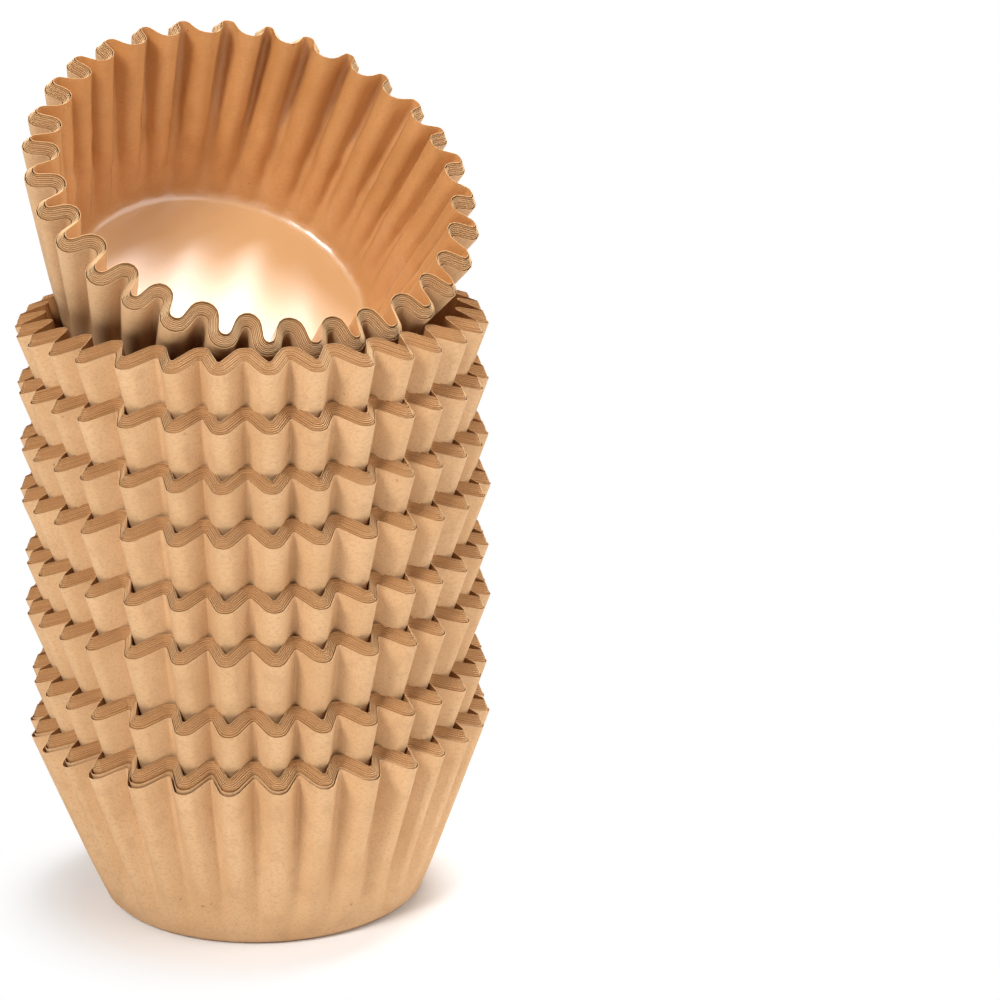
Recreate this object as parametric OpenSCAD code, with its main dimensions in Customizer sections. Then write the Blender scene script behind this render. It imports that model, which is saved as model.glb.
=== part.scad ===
// A stack of pleated paper baking cups, in millimetres.
// Eight upright nests of cups stand in one another, and a ninth nest lies tilted in the top one.
// Z is up, and the origin is the centre of the flat base that the stack stands on.

/* [Cup] */
// Diameter of the flat base of a cup
base_d = 50; // [40:0.5:64]
// Length of paper from the edge of the base up the wall to the rim
wall_len = 30; // [26:0.5:36]
// How far the tips of the pleats stand out beyond the base at the rim
flare = 10.5; // [9.5:0.1:13]
// Number of pleats round the wall
pleats = 31; // [28:1:40]
// Share of each pleat that its outer fold takes
fold_share = 0.3; // [0.2:0.02:0.6]
// Radius of the bend between the base and the wall
bend_r = 3; // [2:0.25:4]
// Thickness of the paper
paper_t = 0.092; // [0.07:0.002:0.12]

/* [Nests] */
// Air left between two packed cups
air_gap = 0.02; // [0.01:0.005:0.03]
// Rise of an inner cup's rim for each unit of depth in the nest, because all discs are cut alike
rim_rise = 1.4; // [1:0.05:1.6]
// Cups packed in a nest
cups = 13; // [11:1:15]
// How much wider each nest has opened than the flare says, bottom nest first
opened = [0.1, -0.3, 0.3, 0, 0.35, 0, 0.05, 0.05, -1.2]; // [-1.4:0.05:0.4]
// Turn of the upright nests from the X axis
upright_spin = 1; // [-5:0.5:5]
// Gap where one upright nest rests on the pleats of the nest below it
seat_gap = 0.02; // [0.01:0.01:0.1]
// How far each of the two loose cups of the bottom nest has slipped down from the cups inside it
slip = 0.4; // [0.2:0.05:0.6]

/* [Tilted nest] */
// Angle of the top nest's axis from upright
tilt = 37.25; // [30:0.25:45]
// Compass direction that it leans to, from the X axis
tilt_to = -62.25; // [-90:0.25:-30]
// Turn of the nest about its own axis
tilt_spin = 4; // [-5:0.5:5]
// Place of its rim's centre across the stack
tilt_x = 1.25; // [-1:0.25:3]
// Place of its rim's centre along the depth of the stack
tilt_y = -4.75; // [-7:0.25:0]
// Lift above its lowest place on the top upright nest, which is found from sample points of both
rest_lift = 0.25; // [0.1:0.05:0.5]

/* [Hidden] */

kraft = [0.80, 0.62, 0.43];
kraft_shade = [0.72, 0.54, 0.36];
kraft_inside = [0.74, 0.50, 0.30];

base_r = base_d / 2;
flat_r = base_r + wall_len;
layer_t = paper_t + air_gap;
nest_t = cups * layer_t - air_gap;
pleat_angle = 360 / pleats;
fold_angle = pleat_angle * fold_share;
upright_nests = len(opened) - 1;
edge_samples = 6;
wall_samples = 20;
halvings = 12;
clear_of_all = -1000;

// The bend is cut as one flat facet, from the edge of the flat base to the foot of the wall.
wall_angle = acos(flare / wall_len);
bend_len = bend_r * tan(wall_angle / 2);
flat_base_r = base_r - bend_len;
foot_r = base_r + bend_len * cos(wall_angle);
foot_z = bend_len * sin(wall_angle);

// Radius of a nest's rim at the tips of its pleats.
function rim_r(nest) = base_r + flare + opened[nest - 1];

// Height that a wall of fixed length reaches where it ends at radius r.
function wall_top(r) = sqrt(pow(wall_len, 2) - pow(r - base_r, 2));

// Radius of a nest's rim at the bottom of its pleats. At the rim each pleat uses up its share of the flat
// disc's edge, part of it in the outer fold and the rest in two flanks.
function valley_r(nest) =
    let (fold = 2 * rim_r(nest) * sin(fold_angle / 2), flank = (2 * PI * flat_r / pleats - fold) / 2)
    let (between = (pleat_angle - fold_angle) / 2)
    rim_r(nest) * cos(between) - sqrt(pow(flank, 2) - pow(rim_r(nest) * sin(between), 2));

// Height of the inner crests at the rim.
function crest_top(nest) = wall_top(valley_r(nest)) + rim_rise * nest_t;

// Slope of the outer valley lines, and of the inner crest lines that the next nest rests on.
function valley_slope(nest) = (valley_r(nest) - foot_r) / (wall_top(valley_r(nest)) - foot_z);
function crest_slope(nest) = (valley_r(nest) - foot_r) / (crest_top(nest) - nest_t - foot_z);

// Extra height of the bottom nest's pack over its two slipped cups.
function lifted(nest) = nest == 1 ? 2 * slip : 0;

// Rise from one nest's base to the next one's: the upper valleys rest on the lower crests,
// at the rim or at the foot of the upper wall, whichever meets first.
function at_rim(nest) =
    crest_top(nest) - foot_z - (valley_r(nest) - nest_t - foot_r) / valley_slope(nest + 1);
function at_foot(nest) = nest_t + nest_t / crest_slope(nest);
function nest_step(nest) = max(at_rim(nest), at_foot(nest)) + lifted(nest) + seat_gap;

// Height of a nest's base.
function nest_z(nest) = nest == 1 ? 0 : nest_z(nest - 1) + nest_step(nest - 1);

// A point of a cup at some depth in its nest, given by its radius, its direction and its height.
function at(r, angle, z) = [r * cos(angle), r * sin(angle), z];
function base_point(angle, depth) = at(flat_base_r - depth / 2, angle, depth);
function foot_point(angle, depth) = at(foot_r - depth, angle, foot_z + depth);
function rim_point(nest, r, angle, depth) = at(r - depth, angle, wall_top(r) + rim_rise * depth);
function valley_point(nest, angle, depth) = rim_point(nest, valley_r(nest), angle, depth);
function fold_point(nest, angle, depth) = rim_point(nest, rim_r(nest), angle, depth);

// The rings of a nest. The base and the foot have one corner in each valley, and the rim has a valley
// and the two ends of a fold in each pleat.
function valley_angle(i) = (i - 0.5) * pleat_angle;
function base_ring(depth) = [for (i = [0:pleats - 1]) base_point(valley_angle(i), depth)];
function foot_ring(depth) = [for (i = [0:pleats - 1]) foot_point(valley_angle(i), depth)];
function rim_ring(nest, depth) = [
    for (i = [0:pleats - 1]) each [
        valley_point(nest, valley_angle(i), depth),
        fold_point(nest, i * pleat_angle - fold_angle / 2, depth),
        fold_point(nest, i * pleat_angle + fold_angle / 2, depth)
    ]
];

// Faces between two rings of the same kind, where one is given by its first point's number.
function band(low, high, count) = [
    for (i = [0:count - 1])
    let (j = (i + 1) % count)
    each [[low + i, high + i, high + j], [low + i, high + j, low + j]]
];

// Faces of a wall between a foot and a rim: a flank, the fold and the other flank of each pleat.
function wall(foot, rim) = [
    for (i = [0:pleats - 1])
    let (j = (i + 1) % pleats, fold = rim + 3 * i + 1)
    each [[foot + i, rim + 3 * i, fold], [foot + i, fold, fold + 1, foot + j], [foot + j, fold + 1, rim + 3 * j]]
];
function reversed(faces) = [for (face = faces) [for (i = [len(face) - 1:-1:0]) face[i]]];

// Cups from one to another, counted from the outside of a nest, as one solid in the nest's own place.
module cup_range(nest, first, last) {
    outside = (first - 1) * layer_t;
    inside = last * layer_t - air_gap;
    outer = [0, pleats, 2 * pleats];
    inner = [5 * pleats, 6 * pleats, 7 * pleats];
    polyhedron(
        points = concat(
            base_ring(outside), foot_ring(outside), rim_ring(nest, outside),
            base_ring(inside), foot_ring(inside), rim_ring(nest, inside)
        ),
        faces = concat(
            [[for (i = [0:pleats - 1]) i]],
            band(outer[0], outer[1], pleats),
            wall(outer[1], outer[2]),
            band(outer[2], inner[2], 3 * pleats),
            reversed(wall(inner[1], inner[2])),
            reversed(band(inner[0], inner[1], pleats)),
            [[for (i = [pleats - 1:-1:0]) inner[0] + i]]
        )
    );
}

module upright(nest, lift = 0) {
    translate([0, 0, nest_z(nest) + lift]) rotate([0, 0, upright_spin]) children();
}

// Turning points as the tilted nest is turned, and back again.
function turned(p, a) = [p.x * cos(a) - p.y * sin(a), p.x * sin(a) + p.y * cos(a), p.z];
function leaned(p, a) = [p.x * cos(a) + p.z * sin(a), p.y, p.z * cos(a) - p.x * sin(a)];
function tilted_point(p) = turned(leaned(turned(p, tilt_spin - tilt_to), tilt), tilt_to);
function untilted_point(p) = turned(leaned(turned(p, -tilt_to), -tilt), tilt_to - tilt_spin);

// The tilted nest's base centre, with its rim's centre at height zero.
tilted = len(opened);
tilted_top = wall_top(rim_r(tilted));
tilted_start = [tilt_x, tilt_y, 0] - tilted_point([0, 0, tilted_top]);

// A point of a nest brought into half a pleat, from the middle of the fold at angle zero to the valley.
function half_pleat(p) =
    let (r = norm([p.x, p.y]), angle = atan2(p.y, p.x))
    at(r, abs(angle - pleat_angle * round(angle / pleat_angle)), p.z);

// A plane through three points, as its normal and its distance, with its height and its side of a point.
function plane(a, b, c) = let (normal = cross(b - a, c - a)) [normal, normal * a];
function plane_z(plane, p) = (plane[1] - plane[0].x * p.x - plane[0].y * p.y) / plane[0].z;
function side(plane, p) = plane[0] * p - plane[1];

// The faces of half a pleat at some depth: the bend, the fold and the flank. Their normals point inwards.
function half_faces(nest, depth) =
    let (half = pleat_angle / 2, fold = fold_angle / 2)
    let (base = base_point(half, depth), foot = foot_point(half, depth))
    let (tip = fold_point(nest, fold, depth), valley = valley_point(nest, half, depth))
    [
        plane(base_point(-half, depth), foot, base),
        plane(foot_point(-half, depth), tip, foot),
        plane(foot, tip, valley)
    ];
hollow = half_faces(upright_nests, nest_t);
outside = half_faces(tilted, 0);

// The rim of the top upright nest over half a pleat, at the fold and at the flank.
rim_fold = fold_point(upright_nests, fold_angle / 2, 0);
rim_valley = valley_point(upright_nests, pleat_angle / 2, 0);
fold_plane = plane(rim_fold, fold_point(upright_nests, fold_angle / 2, nest_t),
    fold_point(upright_nests, -fold_angle / 2, 0));
flank_plane = plane(rim_fold, valley_point(upright_nests, pleat_angle / 2, nest_t), rim_valley);
function rim_height(p) = plane_z(p.y < p.x * tan(fold_angle / 2) ? fold_plane : flank_plane, p);
function past_rim(p) =
    p.x > rim_fold.x || cross(rim_valley - rim_fold, p - rim_fold).z < 0;

// Lift that keeps one point of the tilted nest out of the top upright nest.
function lift_of_point(p) =
    let (q = half_pleat(turned(p, -upright_spin)))
    past_rim(q) ? clear_of_all
    : let (inside = max([nest_t, for (face = hollow) plane_z(face, q)]))
      nest_z(upright_nests) + min(inside, rim_height(q)) - p.z;

// Lift that keeps the tilted nest above one point of the upright rim. The vertical line through the point
// is followed down through the nest, as if it were full, to where it comes out.
function is_in_tilted(p) =
    let (q = untilted_point(p - tilted_start), h = half_pleat(q))
    q.z > 0 && q.z < tilted_top && min([for (face = outside) side(face, h)]) > 0;
function way_out(p, inner, outer, steps) =
    let (middle = (inner + outer) / 2)
    steps == 0 ? outer
    : is_in_tilted(p - [0, 0, middle]) ? way_out(p, middle, outer, steps - 1)
    : way_out(p, inner, middle, steps - 1);
function lift_over_point(p) =
    let (start = untilted_point(p - tilted_start).z, fall = untilted_point([0, 0, 1]).z)
    let (lifts = [for (k = [0:wall_samples]) (start - k * tilted_top / wall_samples) / fall])
    let (inside = [for (k = [0:wall_samples]) if (is_in_tilted(p - [0, 0, lifts[k]])) k])
    len(inside) == 0 ? clear_of_all
    : way_out(p, lifts[inside[0]], lifts[max(0, inside[0] - 1)], halvings);

// Points along the flanks of a nest's rim, and down the tilted nest's wall from them.
function mixed(a, b, share) = a + (b - a) * share;
function flank_points(nest, depth, down) = [
    for (i = [0:pleats - 1], way = [-1, 1], along = [0:1 / edge_samples:1], share = down)
    let (valley = i * pleat_angle + way * pleat_angle / 2, fold = i * pleat_angle + way * fold_angle / 2)
    let (rim = mixed(fold_point(nest, fold, depth), valley_point(nest, valley, depth), along))
    mixed(rim, foot_point(valley, depth), share)
];
tilted_lift = max(concat(
    [for (p = flank_points(tilted, 0, [0:1 / wall_samples:1])) lift_of_point(tilted_start + tilted_point(p))],
    [for (depth = [0, nest_t], p = flank_points(upright_nests, depth, [0]))
        lift_over_point(turned(p, upright_spin) + [0, 0, nest_z(upright_nests)])]
));

module tilted_in_place() {
    translate(tilted_start + [0, 0, tilted_lift + rest_lift])
    rotate([0, 0, tilt_to])
    rotate([0, tilt, 0])
    rotate([0, 0, tilt_spin - tilt_to])
    children();
}

// The bottom nest, with its two outermost cups slipped down.
module nest_1_outer_cup() color(kraft) upright(1) cup_range(1, 1, 1);
module nest_1_second_cup() color(kraft_shade) upright(1, slip) cup_range(1, 2, 2);
module nest_1_packed_cups() color(kraft) upright(1, lifted(1)) cup_range(1, 3, cups);

// An upright nest above it: the outermost cup, the packed cups inside it, and one free innermost cup.
module outer_cup(nest) color(kraft_shade) upright(nest) cup_range(nest, 1, 1);
module packed_cups(nest, last = cups) color(kraft) upright(nest) cup_range(nest, 2, last);
module inner_cup(nest) color(kraft_inside) upright(nest) cup_range(nest, cups, cups);

// The tilted nest on top.
module nest_9_outer_cup() color(kraft_shade) tilted_in_place() cup_range(tilted, 1, 1);
module nest_9_packed_cups() color(kraft) tilted_in_place() cup_range(tilted, 2, cups - 1);
module nest_9_inner_cup() color(kraft_inside) tilted_in_place() cup_range(tilted, cups, cups);

nest_1_outer_cup();
nest_1_second_cup();
nest_1_packed_cups();
outer_cup(2);  // nest_2_outer_cup
packed_cups(2);  // nest_2_packed_cups
outer_cup(3);  // nest_3_outer_cup
packed_cups(3);  // nest_3_packed_cups
outer_cup(4);  // nest_4_outer_cup
packed_cups(4);  // nest_4_packed_cups
outer_cup(5);  // nest_5_outer_cup
packed_cups(5);  // nest_5_packed_cups
outer_cup(6);  // nest_6_outer_cup
packed_cups(6, cups - 1);  // nest_6_packed_cups
inner_cup(6);  // nest_6_inner_cup
outer_cup(7);  // nest_7_outer_cup
packed_cups(7);  // nest_7_packed_cups
outer_cup(8);  // nest_8_outer_cup
packed_cups(8);  // nest_8_packed_cups
nest_9_outer_cup();
nest_9_packed_cups();
nest_9_inner_cup();
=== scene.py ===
import math
from types import SimpleNamespace

import bmesh
import bpy
import numpy as np
from mathutils import Matrix, Vector


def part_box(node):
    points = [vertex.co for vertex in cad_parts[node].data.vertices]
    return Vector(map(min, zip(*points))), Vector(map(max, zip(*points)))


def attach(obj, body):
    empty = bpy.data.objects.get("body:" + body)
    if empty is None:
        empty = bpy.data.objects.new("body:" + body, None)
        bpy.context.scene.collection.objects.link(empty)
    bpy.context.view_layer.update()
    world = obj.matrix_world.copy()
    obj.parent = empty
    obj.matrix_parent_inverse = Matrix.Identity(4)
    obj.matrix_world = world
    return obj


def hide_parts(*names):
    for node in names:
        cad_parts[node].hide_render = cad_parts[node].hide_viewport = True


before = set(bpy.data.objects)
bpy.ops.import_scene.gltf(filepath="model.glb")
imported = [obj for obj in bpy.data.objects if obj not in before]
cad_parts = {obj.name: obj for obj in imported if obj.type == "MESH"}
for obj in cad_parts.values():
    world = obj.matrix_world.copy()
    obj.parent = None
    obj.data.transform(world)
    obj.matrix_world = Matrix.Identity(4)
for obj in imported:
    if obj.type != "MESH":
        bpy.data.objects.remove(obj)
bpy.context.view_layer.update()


# The blank. Every cup is cut as a flat disc of thin unbleached kraft paper, and hundreds are cut at once,
# so all the discs are the same size. A blank is made here as a flat disc of real thickness, whose cut edge
# is a material of its own.
MM = 0.001
BASE_R = 25 * MM
WALL = 30 * MM
FLARE = 10.5 * MM
PAPER = 0.056 * MM
LAYER = 0.104 * MM
CUPS = 13
PLEATS = 31
TURNS_PER_FOLD = 6
STEPS_PER_PLEAT = 2 * TURNS_PER_FOLD + 2
FACE, CUT_EDGE = 0, 1


def cut_blank(rows):
    bm = bmesh.new()
    line = [bm.verts.new((row, 0, 0)) for row in rows]
    edges = [bm.edges.new(pair) for pair in zip(line, line[1:])]
    bmesh.ops.spin(bm, geom=line + edges, cent=(0, 0, 0), axis=(0, 0, 1), angle=2 * math.pi,
                   steps=PLEATS * STEPS_PER_PLEAT, use_merge=True)
    bmesh.ops.remove_doubles(bm, verts=bm.verts, dist=0.001 * MM)
    bmesh.ops.recalc_face_normals(bm, faces=bm.faces)
    if sum(face.normal.z for face in bm.faces) < 0:
        bmesh.ops.reverse_faces(bm, faces=bm.faces)
    bmesh.ops.solidify(bm, geom=bm.faces[:], thickness=PAPER)
    bm.normal_update()
    middle = sum(vert.co.z for vert in bm.verts) / len(bm.verts)
    bmesh.ops.translate(bm, verts=bm.verts, vec=(0, 0, -middle))
    for face in bm.faces:
        face.smooth = True
        face.material_index = CUT_EDGE if abs(face.normal.z) < 0.5 else FACE
    for edge in bm.edges:
        edge.smooth = len({face.material_index for face in edge.link_faces}) == 1
    blank = bpy.data.meshes.new("blank")
    bm.to_mesh(blank)
    bm.free()
    return blank


# The sheet in the middle of a nest sets the form of all the rest, which lie parallel to it on both sides.
# BEND is half the width of the soft bend between its base and its wall, measured along the paper.
BEND_ANGLE = math.acos(FLARE / WALL)
BEND_R = 3 * MM
MIDDLE = CUPS * LAYER / 2
MIDDLE_BASE_R = BASE_R - MIDDLE * math.tan(BEND_ANGLE / 2)
MIDDLE_WALL = BASE_R + WALL - MIDDLE_BASE_R
BEND = (BEND_R - MIDDLE) * math.tan(BEND_ANGLE / 2)

# The rows of points run from a blank's centre to its cut edge. They lie closer where more of a cup is seen.
BEND_ROWS = [MIDDLE_BASE_R + share * BEND for share in (-1, 0, 1)]
SEEN_ROWS = [BASE_R + wall * MM for wall in (5, 8.5, 13, 18, 24, 30)]
NESTED_ROWS = [BASE_R + wall * MM for wall in (18, 30)]
CREASED_ROWS = [BASE_R + wall * MM for wall in np.linspace(4, 30, 18)]

seen_blank = cut_blank([0] + BEND_ROWS + SEEN_ROWS)
nested_blank = cut_blank([0, MIDDLE_BASE_R] + NESTED_ROWS)
creased_blank = cut_blank([0] + BEND_ROWS + CREASED_ROWS)


# The pleats. A heated die presses a pile of blanks into cups, and the paper that the narrower rim has to
# spare goes into pleats. Each sheet lies against the next, so an outer cup's pleats are wide round folds
# with narrow valleys between, and an inner cup's are narrow notches with round crests between.
FOLD_R = 1.0 * MM
FOLD_SLACK = 0.92
ABOUT_HALF_DEPTH = 2 * MM
UNEVEN_TURN = (0.2, 0.5)
UNEVEN_DEPTH = (0.02, 0.05)
TURN_WAVES = (3, 7, 12)
DEPTH_WAVES = (4, 9, 14)
ALL_STARTS = 6.3
PLEATS_START = 0.2
DEEPENING = 0.9
LEAST_DEPTH = 0.02 * MM


# How far the paper turns in one fold, where straight flanks join round folds of this radius.
def turned_by(depth, pitch, fold_r):
    steepness = (depth - 2 * fold_r) / pitch
    return np.arctan(steepness) + np.arcsin(np.minimum(2 * fold_r / pitch / np.hypot(1, steepness), 1))


# The form of one nest: how its pleats wander, how deep they are at the rim, and where its points lie
# across half a pleat, in the air (places) and along the paper (papers).
def pleated(rim_r, fold_r, seed):
    draw = np.random.default_rng(seed)
    turns = [(draw.uniform(*UNEVEN_TURN) * 2 * math.pi / 360, waves, draw.uniform(0, ALL_STARTS))
             for waves in TURN_WAVES]
    depths = [(draw.uniform(*UNEVEN_DEPTH), waves, draw.uniform(0, ALL_STARTS)) for waves in DEPTH_WAVES]
    crest_r = rim_r - MIDDLE * (math.sin(BEND_ANGLE) - BEND_ANGLE * math.cos(BEND_ANGLE))
    flank = FOLD_SLACK * math.pi * (BASE_R + WALL) / PLEATS
    depth = math.sqrt(flank ** 2 - (math.pi * (crest_r - ABOUT_HALF_DEPTH) / PLEATS) ** 2)
    mean_r = crest_r - depth / 2
    pitch = math.pi * mean_r / PLEATS
    turn = turned_by(depth, pitch, fold_r)
    turned = np.linspace(0, turn, TURNS_PER_FOLD // 2 + 1)
    length = 2 * fold_r * turn + (pitch - 2 * fold_r * math.sin(turn)) / math.cos(turn)
    places = np.concatenate([fold_r * np.sin(turned), pitch - fold_r * np.sin(turned[::-1])]) / pitch
    papers = np.concatenate([fold_r * turned, length - fold_r * turned[::-1]]) / length
    return SimpleNamespace(fold_r=fold_r, turns=turns, depths=depths, crest_r=crest_r, depth=depth,
                           mean_r=mean_r, places=places, papers=papers)


# Moves evenly spaced angles to the shares of half a pleat, 0 on a crest and 1 in a valley.
def spaced(angle, shares):
    phase = angle * PLEATS / (2 * math.pi)
    middle = np.round(phase)
    across = np.interp(2 * np.abs(phase - middle), np.linspace(0, 1, len(shares)), shares)
    return (middle + np.sign(phase - middle) * across / 2) * 2 * math.pi / PLEATS, across


# How far the sheet lies in from the crest line. Near the base the wave is as round as it can be, and
# towards the rim its folds tighten to the nest's own radius.
def pleat_fall(across, wall, form):
    fade = np.clip(wall / PLEATS_START, 0, 1)
    depth = form.depth * wall ** DEEPENING * fade * fade * (3 - 2 * fade) + LEAST_DEPTH
    pitch = math.pi * (MIDDLE_BASE_R + wall * (form.mean_r - MIDDLE_BASE_R)) / PLEATS
    roundest = pitch / (2 * np.sin(2 * np.arctan(depth / pitch)))
    fold_r = roundest + (np.minimum(form.fold_r, roundest) - roundest) * wall
    turn = turned_by(depth, pitch, fold_r)
    reach = fold_r * np.sin(turn)

    def rise(distance):
        return fold_r - np.sqrt(fold_r ** 2 - np.minimum(distance, reach) ** 2)

    crest, valley = across * pitch, (1 - across) * pitch
    flank = np.clip(crest - reach, 0, np.maximum(pitch - 2 * reach, 0)) * np.tan(turn)
    return rise(crest) + flank + rise(reach) - rise(valley), depth


# Bends the nest's middle sheet up at its base and pleats its wall. The paper keeps its length, so the rim
# stands lower where it leans out to a crest.
def press(sheet_r, angle, form):
    angle, across = spaced(angle, form.places)
    past = sheet_r - MIDDLE_BASE_R
    wall = np.clip(past / MIDDLE_WALL, 0, 1)
    fall, depth = pleat_fall(across, wall, form)
    rim_fall = form.depth * fall / depth
    uneven = 1 + sum(size * np.sin(waves * angle + start) for size, waves, start in form.depths)
    angle = angle + sum(size * np.sin(waves * angle + start) for size, waves, start in form.turns)
    mean_top = math.sqrt(MIDDLE_WALL ** 2 - (form.mean_r - MIDDLE_BASE_R) ** 2)
    out_r = (form.mean_r - MIDDLE_BASE_R) / MIDDLE_WALL
    out_z = mean_top / MIDDLE_WALL
    bend = np.clip((past + BEND) / (2 * BEND), 0, 1)
    bend_r = -BEND * (1 - bend) ** 2 + BEND * out_r * bend ** 2
    bend_z = BEND * out_z * bend ** 2
    r = MIDDLE_BASE_R + np.where(past < -BEND, past, np.where(past > BEND, past * out_r, bend_r))
    z = np.where(past < -BEND, 0, np.where(past > BEND, past * out_z, bend_z))
    r = r + (depth / 2 - fall) * uneven * np.clip(past / BEND, 0, 1)
    edge_top = np.sqrt(MIDDLE_WALL ** 2 - (form.crest_r - rim_fall - MIDDLE_BASE_R) ** 2)
    z = z + wall * (edge_top - mean_top) + MIDDLE
    return np.stack([r * np.cos(angle), r * np.sin(angle), z], axis=-1)


# The sheets of a nest touch in pairs, counted from the outermost, with a fine gap between the pairs.
TOUCHING = 0.004 * MM
GAPS_AFTER = (1, 3, 5, 7, 9, 11, 12)
gap = (CUPS * (LAYER - PAPER) - (CUPS - 1 - len(GAPS_AFTER)) * TOUCHING) / (len(GAPS_AFTER) + 1)
sheet_places = np.cumsum([gap / 2 + PAPER / 2] + [PAPER + (gap if place in GAPS_AFTER else TOUCHING)
                                                  for place in range(1, CUPS)])
UNEVEN_RIM = 0.05 * MM


# Lays a blank in its place in the nest. It slides at the bend as the pages of a folded booklet do.
def pressed_cup(blank, form, place, draw, lift=0.0, opening=None):
    mesh = blank.copy()
    count = len(mesh.vertices)
    flat = np.empty(3 * count)
    mesh.vertices.foreach_get("co", flat)
    flat = flat.reshape(count, 3)
    flat_r = np.maximum(np.hypot(flat[:, 0], flat[:, 1]), 0.01 * MM)
    angle = np.arctan2(flat[:, 1], flat[:, 0])
    depth = sheet_places[place - 1] - MIDDLE
    past_bend = np.clip((flat_r - MIDDLE_BASE_R + BEND) / (2 * BEND), 0, 1)
    wall = np.clip((flat_r - MIDDLE_BASE_R) / MIDDLE_WALL, 0, 1)
    uneven = wall ** 3 * draw.uniform(-UNEVEN_RIM, UNEVEN_RIM)
    sheet_r = flat_r + past_bend * BEND_ANGLE * depth + uneven
    small_r = 0.02 * MM
    small_angle = 0.0005
    along = press(sheet_r + small_r, angle, form) - press(sheet_r - small_r, angle, form)
    around = press(sheet_r, angle + small_angle, form) - press(sheet_r, angle - small_angle, form)
    normal = np.cross(along, around)
    normal /= np.maximum(np.linalg.norm(normal, axis=1, keepdims=True), 1e-15)
    spot = press(sheet_r, angle, form) + normal * (depth + flat[:, 2])[:, None]
    if opening:
        outwards = opening(angle, wall)
        spot[:, 0] += outwards * np.cos(angle)
        spot[:, 1] += outwards * np.sin(angle)
    spot[:, 2] += lift(angle, wall) if callable(lift) else lift
    mesh.vertices.foreach_set("co", spot.reshape(-1))
    paper_angle = spaced(angle, form.papers)[0] + draw.uniform(0, 2 * math.pi)
    blank_width = 2 * (BASE_R + WALL)
    marks = flat_r[:, None] / blank_width * np.stack([np.cos(paper_angle), np.sin(paper_angle)], axis=-1)
    marks += draw.uniform(0, 20, size=2)
    corners = np.empty(len(mesh.loops), dtype=np.int32)
    mesh.loops.foreach_get("vertex_index", corners)
    mesh.uv_layers.new(name="paper").data.foreach_set("uv", marks[corners].reshape(-1))
    shade = mesh.attributes.new("sheet_shade", "FLOAT", "POINT")
    shade.data.foreach_set("value", np.full(count, draw.uniform(0, 1)))
    height = mesh.attributes.new("wall_share", "FLOAT", "POINT")
    height.data.foreach_set("value", (flat_r - MIDDLE_BASE_R) / MIDDLE_WALL)
    return mesh


# Kraft paper. Unbleached wood fibre gives it a warm tan with soft clouds, fine darker and lighter fibres
# and a few specks of bark. The outside is matt, and the inside has the coat of grease-proof paper, with
# its colour painted a deeper orange as painted shade of light bounced round the cup. The scales count a
# pattern's repeats across one blank.
CLOUDS = 9
BLOTCHES = 38
GRAIN = 260
FIBRES = 200
FIBRE_STRETCH = (1, 3, 1)
FIBRES_BY_TURN = ((0.4, 0.7), (1.4, 1.25), (2.5, 0.74))
SPECKS = 60
SPECK_EDGE = (0.13, 0.07)
FEW_SPECKS = (0.955, 0.985, 0.8)
TOOTH = 120
TOOTH_HEIGHT = 0.1 * MM
COAT_ROUGHNESS = 0.16
WRINKLES = ((0.45, 0.3, 16, 1.2 * MM), (0.02, 0.1, 45, 0.5 * MM))


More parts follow.
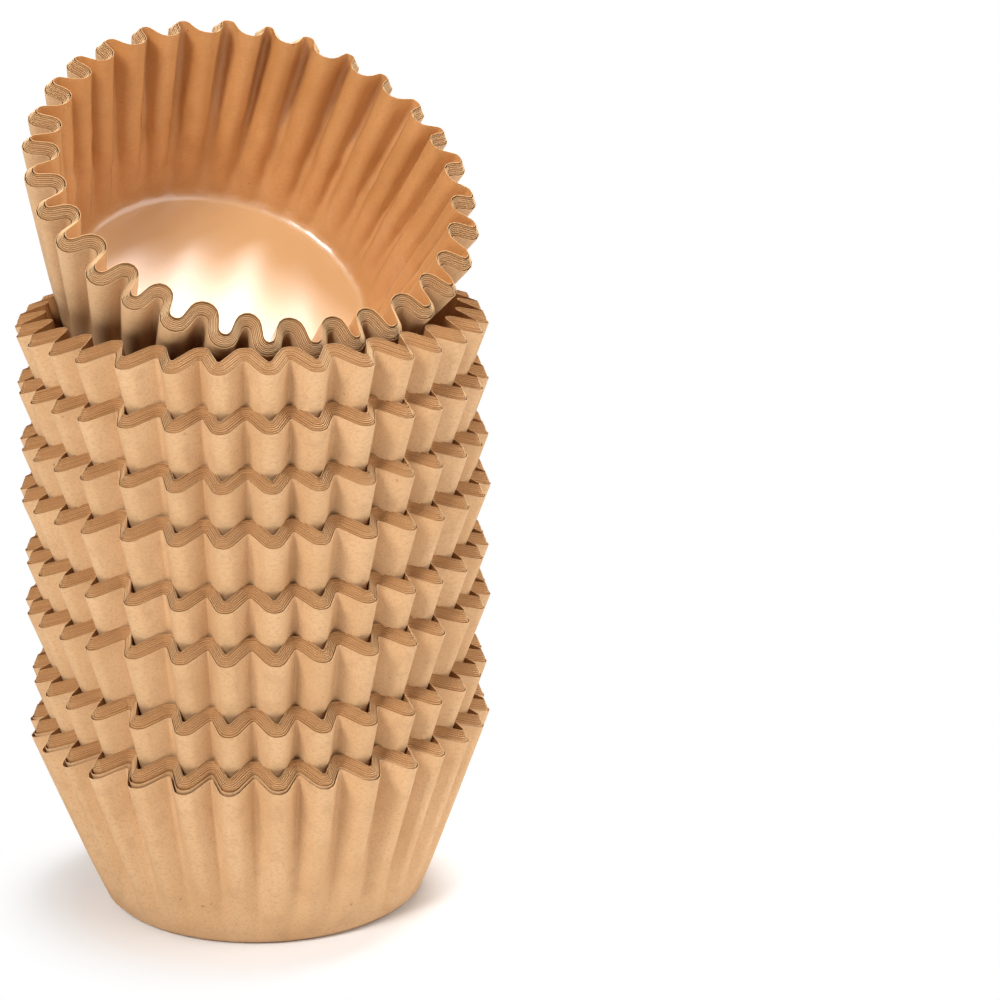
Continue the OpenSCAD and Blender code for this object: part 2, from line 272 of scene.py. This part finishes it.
def kraft_paper(name, deep, pale, roughness, fleck, sheen=0.3, coat=0.0, wrinkles_and_painted_sheen=False):
    material = bpy.data.materials.new(name)
    material.use_nodes = True
    nodes, links = material.node_tree.nodes, material.node_tree.links
    shader = nodes["Principled BSDF"]
    shader.inputs["Roughness"].default_value = roughness
    shader.inputs["Specular IOR Level"].default_value = sheen
    shader.inputs["Coat Weight"].default_value = coat
    shader.inputs["Coat Roughness"].default_value = COAT_ROUGHNESS
    paper = nodes.new("ShaderNodeUVMap")
    paper.uv_map = "paper"

    def noise(scale, detail, stretch=(1, 1, 1), turn=0):
        placed = nodes.new("ShaderNodeMapping")
        placed.inputs["Scale"].default_value = stretch
        placed.inputs["Rotation"].default_value = (0, 0, turn)
        links.new(paper.outputs["UV"], placed.inputs["Vector"])
        texture = nodes.new("ShaderNodeTexNoise")
        texture.inputs["Scale"].default_value = scale
        texture.inputs["Detail"].default_value = detail
        links.new(placed.outputs["Vector"], texture.inputs["Vector"])
        return texture.outputs["Fac"]

    def spread(value, low, high, most=1.0):
        stops = nodes.new("ShaderNodeMapRange")
        stops.inputs["From Min"].default_value = low
        stops.inputs["From Max"].default_value = high
        stops.inputs["To Max"].default_value = most
        links.new(value, stops.inputs["Value"])
        return stops.outputs["Result"]

    def tinted(colour, other, amount):
        mix = nodes.new("ShaderNodeMix")
        mix.data_type = "RGBA"
        links.new(amount, mix.inputs["Factor"])
        for value, socket in ((colour, mix.inputs["A"]), (other, mix.inputs["B"])):
            if isinstance(value, tuple):
                socket.default_value = value
            else:
                links.new(value, socket)
        return mix.outputs["Result"]

    def worked_out(operation, *values):
        node = nodes.new("ShaderNodeMath")
        node.operation = operation
        for value, socket in zip(values, node.inputs):
            if isinstance(value, float):
                socket.default_value = value
            else:
                links.new(value, socket)
        return node.outputs[0]

    def shade(share):
        return tuple(channel * share for channel in deep[:3]) + (1,)

    colour = tinted(deep, pale, spread(noise(CLOUDS, 5), 0.35, 0.65))
    colour = tinted(colour, shade(0.84), spread(noise(BLOTCHES, 3), 0.52, 0.72, fleck))
    colour = tinted(colour, shade(0.72), spread(noise(GRAIN, 3), 0.48, 0.72, fleck))
    for turn, share in FIBRES_BY_TURN:
        fibres = spread(noise(FIBRES, 2, FIBRE_STRETCH, turn), 0.6, 0.74, fleck)
        colour = tinted(colour, shade(share), fibres)
    specks = nodes.new("ShaderNodeTexVoronoi")
    specks.inputs["Scale"].default_value = SPECKS
    links.new(paper.outputs["UV"], specks.inputs["Vector"])
    near = spread(specks.outputs["Distance"], *SPECK_EDGE)
    chosen = nodes.new("ShaderNodeSeparateColor")
    links.new(specks.outputs["Color"], chosen.inputs["Color"])
    few = spread(chosen.outputs["Red"], *FEW_SPECKS)
    bark = (deep[0] * 0.5, deep[1] * 0.3, deep[2] * 0.2, 1)
    colour = tinted(colour, bark, worked_out("MULTIPLY", near, few))
    sheet = nodes.new("ShaderNodeAttribute")
    sheet.attribute_name = "sheet_shade"
    colour = tinted(colour, shade(0.8), spread(sheet.outputs["Fac"], 0, 1, 0.25))
    if wrinkles_and_painted_sheen:
        up = nodes.new("ShaderNodeAttribute")
        up.attribute_name = "wall_share"
        # Painted reflection: the flat base is painted paler and creamier for the reflection of the overhead
        # lamp in its coat.
        painted_base_sheen = (1.2 * pale[0], 1.4 * pale[1], 1.58 * pale[2], 1)
        colour = tinted(colour, painted_base_sheen, spread(up.outputs["Fac"], 0.03, -0.05, 0.8))
    links.new(colour, shader.inputs["Base Color"])
    bump = nodes.new("ShaderNodeBump")
    bump.inputs["Strength"].default_value = 0.3
    bump.inputs["Distance"].default_value = TOOTH_HEIGHT
    links.new(noise(TOOTH, 5), bump.inputs["Height"])
    for centre, reach, size, height in WRINKLES if wrinkles_and_painted_sheen else ():
        away = worked_out("ABSOLUTE", worked_out("SUBTRACT", up.outputs["Fac"], centre))
        crease = nodes.new("ShaderNodeBump")
        crease.inputs["Strength"].default_value = 0.6
        crease.inputs["Distance"].default_value = height
        links.new(worked_out("MULTIPLY", spread(away, reach, 0), noise(size, 3)), crease.inputs["Height"])
        links.new(bump.outputs["Normal"], crease.inputs["Normal"])
        bump = crease
    links.new(bump.outputs["Normal"], shader.inputs["Normal"])
    return material


outside_paper = kraft_paper("kraft_outside", deep=(0.59, 0.345, 0.165, 1), pale=(0.66, 0.41, 0.215, 1),
                            roughness=0.7, fleck=0.5)
# The packed cups are the same kraft paper, painted darker and redder as painted shade for the gaps and
# notches between the sheets.
shaded_packed_paper = kraft_paper("kraft_packed_painted_shade", deep=(0.40, 0.18, 0.06, 1), pale=(0.48, 0.24, 0.09, 1),
                           roughness=0.75, fleck=0.35)
# The cut edges are painted paler than the faces, as a painted highlight on the edges that face up to the
# lamps.
cut_paper_painted_highlight = kraft_paper("kraft_cut_edge_painted_highlight", deep=(0.70, 0.44, 0.22, 1), pale=(0.78, 0.52, 0.28, 1),
                        roughness=0.85, fleck=0.2)
# The inside paper keeps the grease-proof coat, and its colour is painted a deeper orange as painted shade
# of the light bounced round the cup.
inside_paper_painted_bounce = kraft_paper("kraft_inside", deep=(0.52, 0.245, 0.077, 1), pale=(0.60, 0.303, 0.11, 1),
                           roughness=0.42, fleck=0.3, sheen=0.9, coat=1.0, wrinkles_and_painted_sheen=True)


# A nest. About thirteen cups stay together as they leave the press. The height of a nest's base and the
# radius of its rim are the frame's own. Its outermost cup stands a little loose, and its rim shows about
# eight lines, because most of its cups touch in pairs.
LOOSE = 0.12 * MM
SPIN = math.radians(1)
UPRIGHT_SEED = 7


def upright_nest(number):
    low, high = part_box(f"nest_{number}_outer_cup")
    standing = Matrix.Translation((0, 0, low[2])) @ Matrix.Rotation(SPIN, 4, "Z")
    return pleated(high[0], FOLD_R, UPRIGHT_SEED), standing


def joined(name, meshes, materials, matrix):
    bm = bmesh.new()
    for mesh in meshes:
        bm.from_mesh(mesh)
        bpy.data.meshes.remove(mesh)
    bmesh.ops.transform(bm, matrix=matrix, verts=bm.verts)
    whole = bpy.data.meshes.new(name)
    bm.to_mesh(whole)
    bm.free()
    for material in materials:
        whole.materials.append(material)
    piece = bpy.data.objects.new(name, whole)
    bpy.context.collection.objects.link(piece)
    return piece


def set_in_place(piece, node):
    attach(piece, "root")
    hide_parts(node)


def loose_outwards(angle, wall):
    return LOOSE * wall


def loose_inwards(angle, wall):
    return -LOOSE * wall


# The bottom nest stands on its own flat base. Its two outermost cups have slipped down from the rest, and
# they stand open at the front left, so that a dark gap shows behind each of their edges.
SLIP = 0.4 * MM
GAPE = 0.28 * MM
GAPE_AT = math.radians(-125)
GAPE_NARROWS = 1.5


def open_side(angle):
    return np.clip(np.cos(angle - GAPE_AT), 0, 1) ** GAPE_NARROWS


def gape(angle, wall):
    return wall * GAPE * open_side(angle)


def hidden_slip(angle, wall):
    return wall * SLIP * (1 - open_side(angle))


draw = np.random.default_rng(101)
nest, standing = upright_nest(1)
outer = pressed_cup(seen_blank, nest, 1, draw, lift=lambda angle, wall: 2 * hidden_slip(angle, wall),
                    opening=lambda angle, wall: LOOSE * wall + 2 * gape(angle, wall))
second = pressed_cup(seen_blank, nest, 2, draw, lift=lambda angle, wall: SLIP + hidden_slip(angle, wall),
                     opening=gape)
packed = [pressed_cup(seen_blank, nest, place, draw, lift=2 * SLIP) for place in range(3, CUPS + 1)]
piece = joined("bottom_nest_outer_cup", [outer], [outside_paper, cut_paper_painted_highlight], standing)
set_in_place(piece, "nest_1_outer_cup")
piece = joined("bottom_nest_second_cup", [second], [outside_paper, cut_paper_painted_highlight], standing)
set_in_place(piece, "nest_1_second_cup")
piece = joined("bottom_nest_packed_cups", packed, [shaded_packed_paper, cut_paper_painted_highlight], standing)
set_in_place(piece, "nest_1_packed_cups")


# The upright nests stand in one another. Each rests with its valleys on the crests of the nest below, so
# only the top of its wall shows. Nest 6 has an innermost cup that stands a little free of the rest.
for number in range(2, 9):
    draw = np.random.default_rng(100 + number)
    nest, standing = upright_nest(number)
    outer = pressed_cup(nested_blank, nest, 1, draw, opening=loose_outwards)
    last = CUPS - 1 if number == 6 else CUPS
    packed = [pressed_cup(nested_blank, nest, place, draw) for place in range(2, last + 1)]
    piece = joined(f"nest_{number}_outermost", [outer], [outside_paper, cut_paper_painted_highlight], standing)
    set_in_place(piece, f"nest_{number}_outer_cup")
    piece = joined(f"nest_{number}_pack", packed, [shaded_packed_paper, cut_paper_painted_highlight], standing)
    set_in_place(piece, f"nest_{number}_packed_cups")
    if last < CUPS:
        inner = pressed_cup(nested_blank, nest, CUPS, draw, opening=loose_inwards)
        piece = joined(f"nest_{number}_innermost", [inner], [shaded_packed_paper, cut_paper_painted_highlight], standing)
        set_in_place(piece, f"nest_{number}_inner_cup")


# The top nest lies tilted in the mouth of the one below. It has been squeezed a little narrower, and its
# innermost cup, a little dented and loose, shows the sheen of the grease-proof paper on its walls and on
# its flat base. The flat base is also painted paler, as a painted reflection of the overhead lamp.
TILT = math.radians(36.7)
TILT_TO = math.radians(-62.3)
TILT_SPIN = math.radians(3.5)
TILTED_RIM_R = 34.3 * MM
TILTED_FOLD_R = 1.45 * MM
TILTED_SEED = 8
SETTLED = Vector((-0.2 * MM, 1.8 * MM, -1.4 * MM))
INNER_GAP = 0.15 * MM
INNER_LIFT = 0.1 * MM
DENT = 0.75 * MM
DENTS_AT = 0.45
DENTS_REACH = 0.4
DENTS_AROUND, DENTS_UP = 3 * PLEATS, 12

draw = np.random.default_rng(109)
leaning = (Matrix.Rotation(TILT_TO, 4, "Z") @ Matrix.Rotation(TILT, 4, "Y")
           @ Matrix.Rotation(TILT_SPIN - TILT_TO, 4, "Z"))
nest = pleated(TILTED_RIM_R, TILTED_FOLD_R, TILTED_SEED)
outer = pressed_cup(seen_blank, nest, 1, draw, opening=loose_outwards)
packed = [pressed_cup(seen_blank, nest, place, draw) for place in range(2, CUPS)]
dents = draw.uniform(0, 1, size=(DENTS_AROUND, DENTS_UP))


# Blends the dents smoothly between the points of their grid, which goes once round the cup.
def dented(angle, wall):
    across = angle / (2 * math.pi) % 1 * DENTS_AROUND
    up = wall * (DENTS_UP - 1.001)
    column, row = across.astype(int), up.astype(int)
    across, up = across - column, up - row
    across, up = across * across * (3 - 2 * across), up * up * (3 - 2 * up)
    near, far = dents[column % DENTS_AROUND], dents[(column + 1) % DENTS_AROUND]
    line = np.arange(len(row))
    low = near[line, row] * (1 - across) + far[line, row] * across
    high = near[line, row + 1] * (1 - across) + far[line, row + 1] * across
    dented_part = np.clip(1 - np.abs(wall - DENTS_AT) / DENTS_REACH, 0, 1)
    return -INNER_GAP * np.minimum(4 * wall, 1) - DENT * dented_part * (low * (1 - up) + high * up)


inner = pressed_cup(creased_blank, nest, CUPS, draw, lift=INNER_LIFT, opening=dented)
corners = [leaning @ vert.co for vert in outer.vertices]
low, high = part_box("nest_9_outer_cup")
shift = Vector([(low[k] + high[k]) / 2 - (min(c[k] for c in corners) + max(c[k] for c in corners)) / 2
                for k in range(3)])
tilted = Matrix.Translation(shift + SETTLED) @ leaning
piece = joined("tilted_nest_outermost", [outer], [outside_paper, cut_paper_painted_highlight], tilted)
set_in_place(piece, "nest_9_outer_cup")
piece = joined("tilted_nest_pack", packed, [shaded_packed_paper, cut_paper_painted_highlight], tilted)
set_in_place(piece, "nest_9_packed_cups")
piece = joined("tilted_nest_innermost", [inner], [inside_paper_painted_bounce, cut_paper_painted_highlight], tilted)
set_in_place(piece, "nest_9_inner_cup")


# The studio: a plain white floor that fades into a white backdrop, a key light at the front left, a broad
# fill light on the right, a softbox overhead that the coated paper mirrors, and the camera at the
# photograph's height and distance.
FLOOR_SIZE = 3
FLOOR_GREY = 0.88
CLEAR_OF_STACK = 26 * MM
ALL_WHITE = 46 * MM
WHITE = (1, 1, 1, 1)


def sees_backdrop(nodes, links):
    path = nodes.new("ShaderNodeLightPath")
    ray = path.outputs["Is Camera Ray"]
    for other in ("Is Glossy Ray", "Is Transmission Ray"):
        either = nodes.new("ShaderNodeMath")
        either.operation = "MAXIMUM"
        links.new(ray, either.inputs[0])
        links.new(path.outputs[other], either.inputs[1])
        ray = either.outputs[0]
    return ray


bm = bmesh.new()
bmesh.ops.create_grid(bm, x_segments=1, y_segments=1, size=FLOOR_SIZE)
floor_mesh = bpy.data.meshes.new("floor")
bm.to_mesh(floor_mesh)
bm.free()
material = bpy.data.materials.new("white_floor")
material.use_nodes = True
nodes, links = material.node_tree.nodes, material.node_tree.links
shader = nodes["Principled BSDF"]
shader.inputs["Base Color"].default_value = (FLOOR_GREY, FLOOR_GREY, FLOOR_GREY, 1)
shader.inputs["Roughness"].default_value = 0.9
shader.inputs["Specular IOR Level"].default_value = 0
white = nodes.new("ShaderNodeEmission")
white.inputs["Strength"].default_value = 1.0
spot = nodes.new("ShaderNodeTexCoord")
length = nodes.new("ShaderNodeVectorMath")
length.operation = "LENGTH"
links.new(spot.outputs["Object"], length.inputs[0])
fade = nodes.new("ShaderNodeMapRange")
fade.interpolation_type = "SMOOTHSTEP"
fade.inputs["From Min"].default_value = CLEAR_OF_STACK
fade.inputs["From Max"].default_value = ALL_WHITE
links.new(length.outputs["Value"], fade.inputs["Value"])
seen = nodes.new("ShaderNodeMath")
seen.operation = "MULTIPLY"
links.new(fade.outputs["Result"], seen.inputs[0])
links.new(sees_backdrop(nodes, links), seen.inputs[1])
blend = nodes.new("ShaderNodeMixShader")
links.new(seen.outputs[0], blend.inputs["Fac"])
links.new(shader.outputs["BSDF"], blend.inputs[1])
links.new(white.outputs["Emission"], blend.inputs[2])
links.new(blend.outputs["Shader"], nodes["Material Output"].inputs["Surface"])
floor_mesh.materials.append(material)
floor = bpy.data.objects.new("floor", floor_mesh)
bpy.context.collection.objects.link(floor)

MIDDLE_OF_STACK = (0, 0, 0.07)
MOUTH_OF_TOP_NEST = (0, 0, 0.1)
KEY_AT, KEY_SIZE, KEY_WATTS = (-0.5, -0.9, 0.85), 0.4, 14
FILL_AT, FILL_SIZE, FILL_WATTS = (1.05, -0.35, 0.6), 1.2, 9.5
OVERHEAD_AT, OVERHEAD_SIZE, OVERHEAD_WATTS = (0.22, 0.25, 1.1), 0.5, 13
AMBIENT = 0.12


def soft_light(name, place, aim, size, power):
    light = bpy.data.lights.new(name, "AREA")
    light.shape = "SQUARE"
    light.size = size
    light.energy = power
    lamp = bpy.data.objects.new(name, light)
    lamp.location = place
    lamp.rotation_euler = (Vector(aim) - Vector(place)).to_track_quat("-Z", "Y").to_euler()
    bpy.context.collection.objects.link(lamp)


soft_light("key", KEY_AT, MIDDLE_OF_STACK, KEY_SIZE, KEY_WATTS)
soft_light("fill", FILL_AT, MIDDLE_OF_STACK, FILL_SIZE, FILL_WATTS)
soft_light("overhead", OVERHEAD_AT, MOUTH_OF_TOP_NEST, OVERHEAD_SIZE, OVERHEAD_WATTS)

world = bpy.data.worlds.new("studio")
bpy.context.scene.world = world
world.use_nodes = True
nodes, links = world.node_tree.nodes, world.node_tree.links
ambient = nodes["Background"]
ambient.inputs["Color"].default_value = WHITE
ambient.inputs["Strength"].default_value = AMBIENT
backdrop = nodes.new("ShaderNodeBackground")
backdrop.inputs["Color"].default_value = WHITE
backdrop.inputs["Strength"].default_value = 1.0
choose = nodes.new("ShaderNodeMixShader")
links.new(sees_backdrop(nodes, links), choose.inputs["Fac"])
links.new(ambient.outputs["Background"], choose.inputs[1])
links.new(backdrop.outputs["Background"], choose.inputs[2])
links.new(choose.outputs["Shader"], nodes["World Output"].inputs["Surface"])

FOCAL_PX = 2926.6
FRAME_PX = 1000
SENSOR = 36
LOOKS_DOWN = math.radians(15.687)
LOOKS_LEFT = math.radians(1.516)
camera_data = bpy.data.cameras.new("camera")
camera_data.sensor_width = SENSOR
camera_data.lens = SENSOR * FOCAL_PX / FRAME_PX
camera_data.clip_start = 0.02
camera = bpy.data.objects.new("camera", camera_data)
camera.location = (48.86 * MM, -432.64 * MM, 185.07 * MM)
camera.rotation_euler = (math.radians(90) - LOOKS_DOWN, 0, LOOKS_LEFT)
bpy.context.collection.objects.link(camera)
bpy.context.scene.camera = camera
bpy.context.scene.view_settings.view_transform = "Standard"
